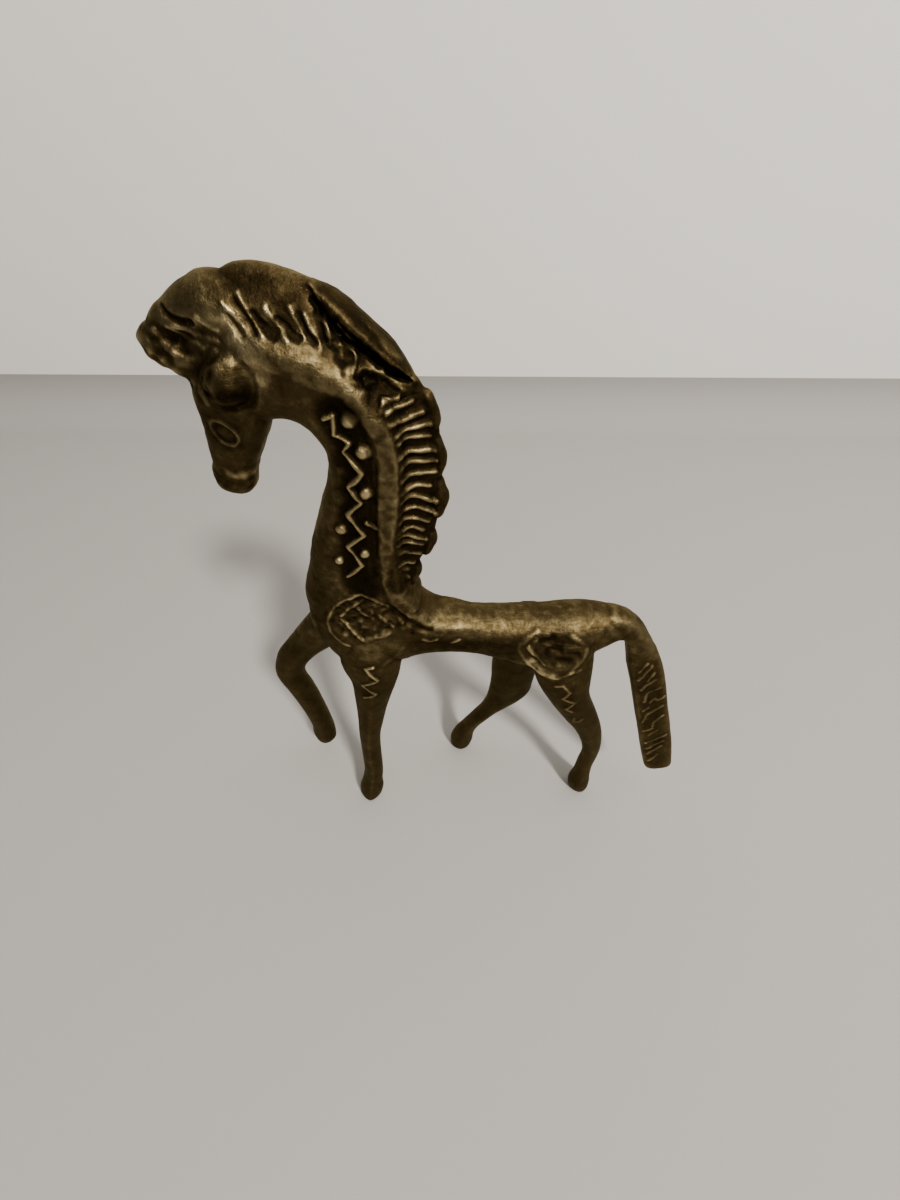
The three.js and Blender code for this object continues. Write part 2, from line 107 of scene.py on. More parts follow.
def loft(sections, sides=44, step=0.7, corner=2.0, taper=0.0, bulge=1.0):
    """A closed body strung through its sections, with rounded ends: its points and its faces."""
    reads = []
    for span in range(len(sections) - 1):
        ends = strung(sections, [span, span + 1])
        middles = (ends[:, 0:2] + ends[:, 2:4]) / 2
        cuts = max(1, round(float(np.linalg.norm(middles[1] - middles[0])) / step))
        reads += [span + cut / cuts for cut in range(cuts)]
    rows = strung(sections, reads + [len(sections) - 1])
    front = np.stack([rows[:, 0], rows[:, 5], rows[:, 1]], 1)
    back = np.stack([rows[:, 2], rows[:, 5], rows[:, 3]], 1)
    middle, half, thick = (front + back) / 2, (back - front) / 2, rows[:, 4] / 2

    def closing(end, inner):
        outward = middle[end] - middle[inner]
        outward /= np.linalg.norm(outward)
        reach = min(np.linalg.norm(half[end]), thick[end]) * bulge
        turns = np.radians([15, 30, 45, 60, 75])
        rings = [(middle[end] + outward * reach * math.sin(turn), half[end] * math.cos(turn),
                  thick[end] * math.cos(turn)) for turn in turns]
        return rings, middle[end] + outward * reach

    first, first_tip = closing(0, 1)
    last, last_tip = closing(-1, -2)
    rings = first[::-1] + list(zip(middle, half, thick)) + last

    angle = np.linspace(0, 2 * math.pi, sides, endpoint=False)
    along = np.sign(np.cos(angle)) * np.abs(np.cos(angle)) ** (2 / corner)
    across = np.sign(np.sin(angle)) * np.abs(np.sin(angle)) ** (2 / corner)
    points = []
    for centre, reach, depth in rings:
        ring = centre + along[:, None] * reach
        ring[:, 1] += depth * across * (1 - taper * along)
        points.append(ring)
    points = np.vstack(points + [first_tip, last_tip])

    faces = []
    side = np.arange(sides)
    after = (side + 1) % sides
    for ring in range(len(rings) - 1):
        a, b = ring * sides + side, ring * sides + after
        faces += np.stack([a, b, b + sides, a + sides], 1).tolist()
    end = (len(rings) - 1) * sides
    tip = len(points) - 2
    faces += [[tip, int(j), int(i)] for i, j in zip(side, after)]
    faces += [[tip + 1, int(end + i), int(end + j)] for i, j in zip(side, after)]
    return points, faces


# The horse's main forms

def neck_and_head():
    neck = loft([
        between(-21.0, 57.0, -8.0, 56.0, 9.0),
        between(-21.3, 65.0, -6.4, 66.5, 9.6),
        between(-19.6, 70.7, -7.3, 71.8, 8.6),
        between(-17.9, 76.0, -6.6, 77.3, 8.0),
        between(-16.0, 80.9, -5.9, 82.6, NECK_THICK),
        between(-14.3, 84.8, -5.5, 86.8, NECK_THICK),
        between(-13.6, 88.2, -5.4, 91.0, NECK_THICK),
        between(-14.8, 91.0, -6.4, 95.8, NECK_THICK),
        between(-16.8, 92.2, -9.4, 99.4, NECK_THICK),
        between(-18.6, 92.0, -13.4, 101.2, 7.6),
        between(-20.6, 92.0, -18.2, 101.8, 7.2),
        between(-22.4, 93.4, -22.4, 101.2, 6.4),
    ], corner=2.2, bulge=0.6)
    ridge = loft([
        between(-8.4, 63.5, -4.4, 64.6, 7.6),
        between(-9.7, 68.7, -6.0, 69.0, 8.3),
        between(-9.5, 76.2, -5.9, 77.0, 8.2),
        between(-8.8, 83.8, -5.0, 84.2, 8.2),
        between(-8.2, 89.6, -4.6, 89.8, 8.3),
        between(-9.4, 92.8, -5.3, 94.2, 8.4),
    ], corner=3.4)
    roll = loft([
        between(-8.6, 89.2, -5.2, 89.8, 7.8),
        between(-10.4, 92.8, -5.9, 94.3, 8.4),
        between(-12.4, 94.4, -8.0, 97.9, 8.5),
        between(-13.9, 95.2, -10.6, 99.8, 8.5),
        between(-15.2, 95.8, -13.5, 101.2, 8.4),
        between(-17.2, 96.2, -17.0, 102.0, 8.0),
        between(-19.4, 96.4, -19.4, 102.2, 7.0),
    ], corner=2.1, bulge=0.5)
    withers = loft([
        between(-10.0, 71.4, -5.8, 70.4, 6.0),
        between(-9.8, 68.2, -5.6, 67.0, 7.6),
        between(-9.0, 64.6, -4.6, 64.3, 7.9),
        between(-7.0, 60.8, -3.4, 62.5, 7.8),
        between(-3.6, 58.0, -1.2, 61.1, 7.4),
        between(1.2, 56.8, 1.8, 60.5, 6.8),
        between(5.4, 56.6, 5.6, 59.8, 5.6),
    ], corner=2.3, bulge=0.5)
    head = loft([
        between(-24.2, 99.2, -18.0, 99.0, 6.2),
        between(-25.4, 95.4, -18.2, 94.8, 7.2),
        between(-25.9, 92.0, -18.9, 91.6, HEAD_THICK),
        between(-26.2, 89.8, -20.0, 89.5, 6.2),
        between(-26.5, 87.6, -21.4, 87.3, 5.2),
        between(-27.3, 85.9, -22.2, 85.6, MUZZLE_THICK),
        between(-27.2, 84.9, -22.7, 84.3, MUZZLE_THICK),
    ], corner=2.5, bulge=0.85)
    ears = [loft([
        around(-20.3, side * 2.9, 98.2, 3.6, 3.4),
        around(-20.6, side * 3.0, 97.1, 4.6, 4.0),
        around(-20.8, side * 2.9, 96.0, 4.0, 3.6),
    ], bulge=0.85) for side in (LEFT, RIGHT)]
    return [neck, ridge, roll, withers, head, *ears]


def forelock():
    poll_lock = loft([
        between(-16.4, 99.4, -16.2, 104.3, 5.2),
        between(-20.4, 99.4, -20.8, 105.0, 5.8),
        between(-23.8, 98.8, -23.3, 104.2, 5.2),
        between(-26.3, 98.8, -25.5, 102.9, 4.2),
    ])
    tuft = loft([
        between(-21.6, 95.3, -21.6, 100.6, 5.6),
        between(-25.2, 95.8, -24.8, 101.4, 5.4),
        between(-27.3, 97.1, -26.5, 101.2, 4.4),
    ])
    return [poll_lock, tuft]


def mane():
    crest = loft([between(*edges, MANE_THICK) for edges in (
        (-20.4, 100.2, -20.7, 104.3),
        (-18.6, 100.0, -18.8, 105.3),
        (-16.8, 100.0, -16.8, 105.5),
        (-14.0, 99.4, -13.7, 105.0),
        (-11.5, 98.2, -10.6, 103.7),
        (-9.6, 96.6, -7.3, 101.1),
        (-8.2, 94.2, -4.0, 97.4),
        (-7.4, 91.4, -1.5, 93.0),
        (-7.4, 87.6, -0.9, 88.0),
        (-7.8, 84.0, -0.9, 83.8),
        (-8.4, 80.0, -1.4, 79.4),
        (-9.0, 76.0, -2.4, 75.0),
        (-9.8, 72.0, -4.2, 71.0),
        (-10.0, 68.6, -5.4, 67.4),
    )], taper=0.35, bulge=0.5)
    lobe_length = 5.6
    lobes = [loft([
        between(x - 1.4, z + lobe_length / 2 - 0.5, x + 0.6, z + lobe_length / 2 - 0.5, 2.0),
        between(x - 1.4, z, x + 1.2, z, 2.4),
        between(x - 1.4, z - lobe_length / 2 + 0.7, x + 0.5, z - lobe_length / 2 + 0.7, 2.0),
    ]) for x, z in ((-2.1, 91.8), (-1.4, 87.2), (-1.2, 81.8), (-2.8, 75.4), (-5.0, 69.8))]
    leaf = loft([
        between(-12.0, 103.9, -11.8, 104.3, 2.0),
        between(-10.8, 102.3, -9.8, 103.4, 3.9),
        between(-9.2, 100.3, -7.2, 101.3, 4.7),
        between(-7.1, 98.5, -5.0, 99.1, 4.5),
        between(-4.6, 96.9, -3.9, 97.2, 3.2),
        between(-3.5, 95.9, -3.2, 96.0, 1.8),
    ], bulge=0.7, corner=1.7)
    return [crest, *lobes, leaf]


def trunk_and_tail():
    trunk = loft([
        between(-20.0, 53.6, -19.6, 65.0, 7.0),
        between(-17.4, 49.3, -17.2, 67.2, 9.8),
        between(-12.4, 49.6, -12.6, 67.4, SHOULDER_THICK),
        between(-7.2, 50.4, -7.4, 65.2, 9.8),
        between(-2.6, 51.6, -2.6, 61.8, 8.4),
        between(3.4, 51.4, 3.4, 60.3, BARREL_THICK),
        between(9.0, 50.0, 9.0, 60.0, 8.2),
        between(14.4, 48.5, 14.4, 60.1, HIP_THICK),
        between(19.6, 49.8, 19.6, 61.0, 9.0),
        between(24.0, 52.6, 24.4, 60.9, 6.6),
        between(27.2, 55.2, 28.4, 59.6, 4.6),
    ], corner=2.45, bulge=0.6)
    tail = loft([
        between(20.4, 55.6, 20.4, 59.4, 4.2),
        between(24.9, 54.6, 25.2, 60.9, 5.0),
        between(27.8, 55.2, 29.5, 59.0, 4.2, -0.2),
        between(29.2, 52.8, 32.2, 55.8, 4.0, -0.6),
        around(33.0, -1.3, 49.6, TAIL_WIDTH - 0.3, TAIL_THICK, 24),
        around(35.3, -2.1, 44.0, TAIL_WIDTH, TAIL_THICK, 22),
        around(37.8, -3.1, 37.0, TAIL_WIDTH + 0.1, TAIL_THICK, 21),
        around(40.2, -4.0, 30.5, TAIL_WIDTH + 0.2, TAIL_THICK, 20),
        around(42.7, -4.9, 23.5, TAIL_WIDTH + 0.2, TAIL_THICK, 20),
        around(44.6, -5.6, 17.8, TAIL_WIDTH - 0.2, TAIL_THICK - 0.2, 18),
    ], corner=3.4, bulge=1.1)
    return [trunk, tail]


def legs():
    left_fore = loft([
        around(-12.6, -2.6, 58.0, 10.4, 6.4),
        around(-13.1, -3.6, 51.0, 10.2, 6.0),
        around(-13.2, -4.0, 46.0, 7.9, 5.6),
        around(-14.2, -4.4, 40.0, 6.2, 5.0),
        around(-15.3, -4.9, 33.0, 4.9, 4.4),
        around(-16.3, -5.3, 26.0, 4.2, 4.1),
        around(-17.1, -6.1, 13.0, 4.2, 4.0),
        around(-17.9, -6.5, 7.8, 4.6, 4.4),
        around(-18.5, -6.8, 4.2, 5.5, 5.2),
        around(-19.0, -7.0, 1.0, 5.2, 5.2),
    ], corner=1.55, bulge=0.9)
    left_hind = loft([
        around(17.9, -2.8, 56.0, 10.2, 6.0),
        around(19.2, -4.0, 48.8, 9.4, 6.0, 10),
        around(21.4, -4.2, 42.0, 7.2, 5.6, 18),
        around(24.4, -4.3, 36.0, 6.2, 5.0, 20),
        around(27.1, -4.3, 30.6, 5.1, 4.4, 18),
        around(29.1, -4.4, 25.0, 4.2, 3.9, 12),
        around(30.2, -4.4, 19.5, 3.6, 3.6, 4),
        around(30.4, -4.4, 13.0, 3.5, 3.6),
        around(30.7, -4.5, 7.6, 4.0, 4.0),
        around(30.9, -4.5, 3.8, 5.0, 4.8),
        around(31.3, -4.5, 1.0, 4.8, 4.8),
    ], corner=1.8, bulge=0.9)
    right_hind = loft([
        around(14.0, 2.6, 54.0, 11.0, 6.0),
        around(12.6, 3.6, 42.0, 9.2, 5.8),
        around(12.5, 4.0, 34.0, 8.6, 5.4, 4),
        around(12.1, 4.5, 27.4, 8.8, 5.0, 14),
        around(9.1, 4.9, 21.0, 6.2, 4.6, 26),
        around(6.5, 5.2, 15.6, 5.2, 4.3, 26),
        around(4.4, 5.5, 10.6, 5.0, 4.2, 20),
        around(3.2, 5.7, 6.8, 5.2, 4.6, 8),
        around(2.8, 5.8, 3.6, 5.6, 4.8),
        around(2.6, 5.8, 1.0, 5.2, 4.6),
    ], corner=1.8, bulge=0.9)
    right_fore = loft([
        around(-16.6, 2.2, 58.0, 9.0, 6.0, -30),
        around(-22.2, 3.0, 51.4, 7.6, 5.6, -36),
        around(-26.8, 3.5, 46.2, 6.2, 5.2, -36),
        around(-30.5, 3.7, 41.2, 5.8, 5.0, -32),
        around(-32.1, 3.8, 36.0, 5.8, 4.9, -8),
        around(-31.3, 3.8, 30.0, 5.6, 4.7, 5),
        around(-30.6, 3.9, 22.0, 5.1, 4.6, 4),
        around(-30.4, 4.0, 14.0, 5.0, 4.6, 2),
        around(-30.8, 4.1, 9.8, 5.4, 4.8),
        around(-30.9, 4.1, 7.4, 5.0, 4.7),
    ], corner=1.8, bulge=0.9)
    return [left_fore, left_hind, right_hind, right_fore]


# Skin: one closed mesh over all the forms

def mesh_object(name, points, faces):
    mesh = bpy.data.meshes.new(name)
    mesh.from_pydata(np.asarray(points).tolist(), [], faces)
    mesh.validate()
    made = bpy.data.objects.new(name, mesh)
    bpy.context.scene.collection.objects.link(made)
    return made


def with_modifier(piece, kind, **settings):
    """Adds a modifier, keeps its result as the piece's own mesh and takes it off again."""
    modifier = piece.modifiers.new(kind.lower(), kind)
    for name, value in settings.items():
        setattr(modifier, name, value)
    bpy.context.view_layer.update()
    made = bpy.data.meshes.new_from_object(piece.evaluated_get(bpy.context.evaluated_depsgraph_get()))
    piece.modifiers.clear()
    old, piece.data = piece.data, made
    bpy.data.meshes.remove(old)
    return piece


def fused(name, forms, grain):
    points, faces, start = [], [], 0
    for form_points, form_faces in forms:
        points.append(form_points)
        faces += [[start + i for i in face] for face in form_faces]
        start += len(form_points)
    piece = mesh_object(name, np.vstack(points), faces)
    return with_modifier(piece, "REMESH", mode="VOXEL", voxel_size=grain)


def read_points(mesh):
    flat = np.empty(len(mesh.vertices) * 3, np.float32)
    mesh.vertices.foreach_get("co", flat)
    return flat.reshape(-1, 3).astype(float)


def write_points(mesh, points):
    mesh.vertices.foreach_set("co", points.astype(np.float32).ravel())
    mesh.update()


def read_normals(mesh):
    flat = np.empty(len(mesh.vertices) * 3, np.float32)
    mesh.vertex_normals.foreach_get("vector", flat)
    return flat.reshape(-1, 3).astype(float)


class Neighbours:
    """Averages any value over the points that a mesh's edges join."""

    def __init__(self, mesh):
        flat = np.empty(len(mesh.edges) * 2, np.int32)
        mesh.edges.foreach_get("vertices", flat)
        ends = flat.reshape(-1, 2)
        self.count = len(mesh.vertices)
        self.here = np.concatenate([ends[:, 0], ends[:, 1]])
        self.there = np.concatenate([ends[:, 1], ends[:, 0]])
        self.share = 1 / np.maximum(np.bincount(self.here, minlength=self.count), 1)

    def mean(self, values):
        if values.ndim == 1:
            return np.bincount(self.here, values[self.there], self.count) * self.share
        return np.stack([self.mean(column) for column in values.T], 1)

    def relaxed(self, values, rounds, where=None):
        """Values drawn towards their neighbours' mean, over and over; where picks the points that move."""
        strength = 0.5
        if where is None:
            here, there = self.here, self.there
        else:
            chosen = where[self.here]
            here, there = self.here[chosen], self.there[chosen]
        share = strength / np.maximum(np.bincount(here, minlength=self.count), 1)
        keep = np.where(share < strength, 1 - strength, 1.0) if where is not None else 1 - strength
        columns = []
        for column in values.T:
            for _ in range(rounds):
                column = keep * column + share * np.bincount(here, column[there], self.count)
            columns.append(column)
        return np.stack(columns, 1)

    def filleted(self, points, rounds):
        """Relaxes points without the shrinking: each step in is followed by a step back out."""
        step_in, step_out = 0.55, 0.57
        for _ in range(rounds):
            points = points + step_in * (self.mean(points) - points)
            points = points - step_out * (self.mean(points) - points)
        return points


def fill_hollow(mesh, joins, path, reach, spread):
    """Rounds the hollows along a path where forms meet, and leaves what stands proud."""
    points, normals = read_points(mesh), read_normals(mesh)
    away = distance_to(points[:, 0], points[:, 2], curved(path), reach + 1)
    relaxed = joins.relaxed(points, round((spread / SKIN_GRAIN) ** 2), where=away < reach)
    out = np.clip(((relaxed - points) * normals).sum(1), 0, None) * ramp(reach - 0.3, reach / 2, away)
    write_points(mesh, points + normals * out[:, None])


# Carving: heights over the skin, in millimetres, worked out from each point's place in the side outline

def ramp(low, high, value):
    t = np.clip((value - low) / (high - low), 0, 1)
    return t * t * (3 - 2 * t)


def curved(points, step=0.25):
    """More points along a smooth curve through a few."""
    points = np.asarray(points, float)
    length = np.linalg.norm(np.diff(points, axis=0), axis=1).sum()
    return strung(points, np.linspace(0, len(points) - 1, max(3, int(length / step))))


def distance_to(x, z, points, reach=3.0):
    """How far each place in the side outline is from a line through points."""
    points = np.asarray(points, float)
    nearest = np.full(len(x), 99.0)
    close = np.flatnonzero((x > points[:, 0].min() - reach) & (x < points[:, 0].max() + reach)
                           & (z > points[:, 1].min() - reach) & (z < points[:, 1].max() + reach))
    px, pz = x[close], z[close]
    best = np.full(len(close), 99.0)
    for (ax, az), (bx, bz) in zip(points[:-1], points[1:]):
        dx, dz = bx - ax, bz - az
        t = np.clip(((px - ax) * dx + (pz - az) * dz) / (dx * dx + dz * dz + 1e-9), 0, 1)
        best = np.minimum(best, np.hypot(px - ax - t * dx, pz - az - t * dz))
    nearest[close] = best
    return nearest


def bead(distance, width):
    """The profile of a raised line: 1 on its rounded crest, and a soft foot at half its width."""
    return np.clip(1 - (2 * distance / width) ** 2, 0, 1) ** 1.3


def value_noise(points, size, seed):
    """Soft random lumps of one size in millimetres, from -1 to 1."""
    lattice = np.random.default_rng(seed).uniform(-1, 1, (32, 32, 32))
    q = points / size
    cell = np.floor(q).astype(int)
    f = q - cell
    f = f * f * (3 - 2 * f)
    total = np.zeros(len(points))
    for corner in np.ndindex(2, 2, 2):
        weight = np.prod(np.where(corner, f, 1 - f), axis=1)
        at = (cell + corner) % 32
        total += weight * lattice[at[:, 0], at[:, 1], at[:, 2]]
    return total


# Paths and places in the side outline, as (x, z) in the maker's frame, read off the photo.
# First the joins that are filled, then each marking.

BEND = [(-19.0, 99.5), (-15.0, 99.6), (-11.5, 98.5), (-9.0, 96.0), (-8.2, 92.5)]
MANE_ROOT = [(-7.0, 72.0), (-6.0, 69.0), (-4.8, 66.0), (-3.4, 63.4), (-0.6, 61.2), (3.0, 60.2)]
HIP_FRONT = [(11.6, 55.6), (12.6, 53.6), (13.8, 52.0), (15.4, 50.9)]
BREAST_ROOT = [(-20.5, 57.5), (-18.8, 54.6), (-16.6, 52.2)]
TAIL_ROOT = [(20.5, 57.5), (24.0, 57.5), (28.0, 57.0)]
EAR_ROOT = [(-22.0, 95.4), (-22.7, 97.0), (-21.8, 98.8), (-19.8, 99.4), (-18.2, 98.4), (-17.8, 96.8)]
MANE_VALLEY = [(-5.9, 93.5), (-5.1, 90.0), (-4.9, 86.0), (-5.3, 82.0), (-6.1, 78.0), (-6.4, 74.0),
               (-6.4, 70.0)]
# Each join that is filled: its path, how far from the path, and how broadly
JOINS = [(BEND, 5.0, 1.3), (MANE_ROOT, 4.4, 2.6), (TAIL_ROOT, 4.5, 2.2), (EAR_ROOT, 3.0, 0.7),
         (MANE_VALLEY, 2.4, 1.0), (HIP_FRONT, 3.2, 1.3), (BREAST_ROOT, 3.6, 1.6)]

NECK_ZIGZAG = [(-12.1, 93.7), (-11.3, 93.9), (-11.5, 91.9), (-10.2, 91.0), (-11.0, 89.9), (-9.4, 87.4),
               (-11.1, 85.6), (-10.0, 83.6), (-11.7, 82.0), (-10.4, 78.7), (-12.6, 77.0), (-11.3, 73.7),
               (-13.4, 72.0)]
# Each knob is a place and its width across
NECK_DOTS = [(-9.8, 93.4, 2.0), (-8.9, 89.9, 2.0), (-9.3, 84.8, 1.9), (-12.95, 79.6, 1.65),
             (-10.7, 75.6, 1.6), (-14.0, 74.7, 1.35)]
WORN_DOTS = [(-11.6, 87.4, 1.5), (-12.4, 84.0, 2.1)]
NECK_TICK = [(-9.8, 80.7), (-9.0, 79.9)]
NECK_PANEL = [(-10.8, 94.0), (-10.1, 91.0), (-10.3, 86.5), (-11.0, 81.5), (-11.7, 76.5), (-12.2, 72.0),
              (-11.4, 69.0)]
RIDGE_SIDE = [(-9.9, 94.6), (-8.7, 92.3), (-8.4, 89.5), (-8.5, 86.6), (-9.0, 83.0), (-9.7, 75.5),
              (-9.9, 71.5)]
RIDGE_BAND = [(-15.0, 98.8), (-11.5, 97.6), (-8.6, 95.0), (-6.7, 91.5), (-6.5, 87.0), (-7.0, 82.0),
              (-7.6, 77.0), (-7.7, 72.0), (-6.8, 68.0), (-5.4, 65.0), (-2.5, 62.3)]

MANE_BAND = [(-18.6, 103.9), (-15.0, 104.0), (-12.0, 102.9)]
NET_ZONE = [(-9.6, 100.6), (-8.4, 98.6), (-6.4, 96.9), (-4.6, 95.6)]
BEND_STROKES = [
    [(-19.0, 103.3), (-18.5, 102.4), (-17.8, 101.1)],
    [(-17.6, 103.7), (-17.3, 102.9), (-16.8, 101.7), (-16.1, 100.8)],
    [(-15.6, 102.7), (-15.0, 101.8), (-14.1, 100.4)],
    [(-13.6, 102.6), (-13.1, 101.6), (-12.7, 100.4)],
    [(-12.4, 102.1), (-12.0, 100.9), (-11.4, 99.6)],
    [(-10.9, 102.4), (-10.8, 101.2), (-10.7, 99.8)],
]
BEND_HOLLOWS = [
    [(-18.7, 102.2), (-18.0, 101.0)],
    [(-17.9, 103.2), (-17.3, 102.3), (-16.8, 101.2)],
    [(-16.6, 102.4), (-16.0, 101.4), (-15.2, 100.8)],
    [(-14.7, 101.8), (-14.0, 101.0), (-13.2, 100.5)],
    [(-12.9, 101.9), (-12.5, 100.8), (-11.9, 100.1)],
    [(-11.4, 102.2), (-11.2, 101.2), (-11.1, 100.3)],
    [(-10.2, 101.6), (-10.0, 100.2)],
    [(-9.4, 100.2), (-9.0, 98.8)],
    [(-8.2, 99.2), (-8.0, 98.2)],
    [(-7.0, 98.4), (-6.4, 97.8)],
    [(-7.8, 97.2), (-7.1, 96.3)],
    [(-5.6, 97.3), (-4.9, 96.8)],
    [(-6.2, 96.3), (-5.2, 95.6)],
]
BEND_NET = [
    [(-10.2, 101.9), (-9.3, 100.7), (-7.6, 99.0), (-6.4, 98.3)],
    [(-8.6, 99.7), (-8.4, 98.4), (-8.8, 97.6)],
    [(-8.1, 97.7), (-6.8, 97.4), (-5.6, 96.8), (-4.2, 96.4)],
    [(-7.6, 96.6), (-5.8, 96.1), (-4.2, 95.4)],
]
MANE_RIBS = [
    [(-6.5, 95.0), (-5.1, 94.9)],
    [(-6.0, 94.1), (-5.1, 94.2), (-3.8, 94.3)],
    [(-6.0, 92.9), (-4.6, 92.7), (-3.8, 93.0), (-2.6, 93.1)],
    [(-5.6, 91.4), (-4.3, 91.7), (-3.2, 91.8), (-2.0, 91.7)],
    [(-5.4, 90.6), (-4.3, 90.7), (-3.3, 90.7), (-2.0, 90.4)],
    [(-5.2, 89.1), (-4.3, 89.2), (-2.3, 88.9), (-1.5, 88.6)],
    [(-5.4, 87.4), (-4.7, 87.8), (-3.4, 87.8), (-1.4, 87.4)],
    [(-5.1, 86.1), (-3.7, 86.3), (-1.7, 86.0)],
    [(-5.0, 84.4), (-3.9, 84.8), (-2.1, 84.3)],
    [(-5.6, 83.1), (-4.3, 83.4), (-2.8, 82.6), (-1.6, 81.9)],
    [(-5.7, 81.5), (-4.3, 81.8), (-2.8, 80.9), (-1.8, 80.1)],
    [(-5.7, 80.1), (-4.2, 80.0), (-2.6, 78.9)],
    [(-6.1, 78.4), (-4.6, 78.6), (-3.4, 77.8)],
    [(-6.6, 77.9), (-5.4, 77.5), (-4.2, 76.7), (-3.1, 76.0)],
    [(-6.4, 76.6), (-5.2, 76.2), (-3.5, 75.2)],
    [(-6.6, 76.0), (-6.0, 75.0), (-5.0, 74.1), (-4.0, 73.4)],
    [(-6.9, 73.4), (-5.8, 72.7), (-5.0, 72.0)],
    [(-6.5, 72.2), (-5.7, 71.2)],
    [(-7.2, 71.8), (-6.3, 70.8), (-5.7, 69.4)],
]
LOBE_EDGE = [(-3.2, 94.6), (-1.3, 91.6), (-0.4, 87.4), (-0.2, 82.0), (-1.6, 76.0), (-3.6, 70.2)]
MANE_BED = [(-5.6, 95.3), (-4.0, 93.4), (-3.5, 91.0), (-3.2, 87.5), (-3.5, 84.0), (-4.0, 80.5), (-4.8, 77.0),
            (-5.6, 73.4), (-6.4, 70.4)]

LEAF_CREVICE = [(-11.6, 103.2), (-10.9, 102.1), (-9.6, 100.5), (-8.2, 99.3), (-6.6, 98.2), (-5.0, 97.0),
                (-3.8, 96.2)]
LEAF_EDGES = [
    [(-11.4, 103.6), (-10.8, 102.8), (-10.0, 101.8)],
    [(-8.3, 102.2), (-7.4, 101.4), (-6.1, 100.0), (-5.2, 99.0), (-4.4, 98.0)],
]
LEAF_SHADE = [(-10.4, 102.9), (-8.8, 101.5), (-7.2, 100.3), (-6.0, 99.3), (-4.6, 97.9)]

FORELOCK_CREASE = [(-24.7, 102.6), (-24.0, 102.1), (-23.2, 101.7), (-22.3, 101.7)]
FORELOCK_STRANDS = [
    [(-24.1, 101.3), (-23.0, 101.0), (-22.0, 100.6), (-20.4, 100.2)],
    [(-24.7, 101.2), (-23.3, 100.5), (-22.0, 99.8)],
    [(-26.2, 100.9), (-25.7, 100.1), (-24.5, 99.7)],
    [(-21.6, 102.1), (-20.9, 101.5), (-20.1, 101.1)],
    [(-25.4, 99.6), (-24.2, 98.9), (-23.2, 98.7)],
]
EAR = (-20.6, 97.0)
EAR_RIM = [(-20.7, 99.6), (-22.0, 98.6), (-23.0, 97.2), (-23.5, 95.9), (-23.2, 94.9)]
EAR_FOLD = [(-18.4, 98.8), (-18.0, 97.6), (-18.1, 96.2), (-19.0, 94.9), (-20.4, 94.3), (-21.6, 94.6)]
NAPE_FOLD = [(-19.4, 101.6), (-18.8, 100.7), (-18.2, 99.6), (-17.8, 98.5), (-17.6, 97.6)]
EYE = (-22.85, 91.8)
EYE_LONG, EYE_WIDE, EYE_LEAN = 1.5, 1.05, -60
LIP = [(-26.0, 86.9), (-25.2, 86.6), (-23.7, 86.2), (-22.4, 86.0)]

SHOULDER_RING = [(-6.9, 62.4), (-7.8, 63.9), (-8.9, 65.6), (-10.3, 67.2), (-11.6, 68.2), (-12.8, 68.6),
                 (-14.0, 68.0), (-15.3, 67.1), (-16.5, 65.7), (-17.3, 64.0), (-17.8, 62.1), (-17.6, 60.6),
                 (-17.1, 59.5), (-16.4, 58.5), (-15.4, 57.9)]
SHOULDER_BARS = [
    [(-15.6, 64.3), (-14.3, 65.8), (-12.9, 67.0), (-11.9, 67.7)],
    [(-10.4, 64.4), (-9.4, 63.0), (-8.4, 61.9)],
    [(-12.9, 66.2), (-12.1, 64.6), (-11.0, 63.8)],
]
SHOULDER_THICK_BAR = [(-15.7, 63.4), (-14.4, 61.5), (-13.1, 59.6)]
SHOULDER_FOOT = [(-12.7, 59.4), (-11.2, 60.1), (-9.2, 60.8)]
SHOULDER_KNOBS = [(-15.4, 60.7, 1.3), (-13.0, 63.5, 1.1)]
WITHERS_CREASE = [(-8.2, 65.2), (-7.6, 64.2), (-6.8, 63.2), (-5.4, 62.0), (-4.3, 61.0), (-3.0, 60.1)]
WITHERS_EDGE = [(-6.8, 61.9), (-5.9, 61.1), (-4.8, 60.3), (-3.6, 59.5)]
WITHERS_WEAR_AND_HIGHLIGHT = [(-5.2, 63.2), (-3.6, 61.8), (-1.5, 60.8), (1.5, 60.4)]
LEG_CREASE = [(-10.2, 53.4), (-8.9, 54.4), (-7.8, 55.8), (-6.8, 57.8)]

BREAST = [(-12.5, 57.0), (-9.8, 57.6)]
BACK = [(-4.0, 62.0), (0.0, 60.9), (6.0, 60.3), (13.0, 60.2), (18.0, 60.6)]
HIP_RING = [(13.5, 59.0), (12.3, 58.3), (11.1, 57.2), (10.8, 55.9), (11.5, 54.6), (12.4, 53.2), (13.4, 51.9),
            (14.6, 51.2), (15.8, 50.9), (17.1, 51.2), (18.3, 51.8), (19.2, 52.8), (20.0, 54.1), (20.8, 55.3),
            (21.4, 56.5), (21.1, 57.3), (20.1, 58.1), (18.8, 58.6)]
HIP_FOLD = [(12.3, 56.7), (13.1, 55.4), (14.1, 54.3), (15.1, 53.6)]
HIP_MASS = [(13.2, 53.0), (14.2, 52.2), (15.3, 51.7), (16.4, 51.6)]
HIP_BAR = [(19.3, 52.8), (20.7, 52.9)]
HIP_HOLLOW = (17.0, 56.4)
HIP_HOLLOW_LONG, HIP_HOLLOW_HIGH, HIP_HOLLOW_LEAN = 4.1, 2.9, 0.2
MEDALLION = (-12.6, 63.7)

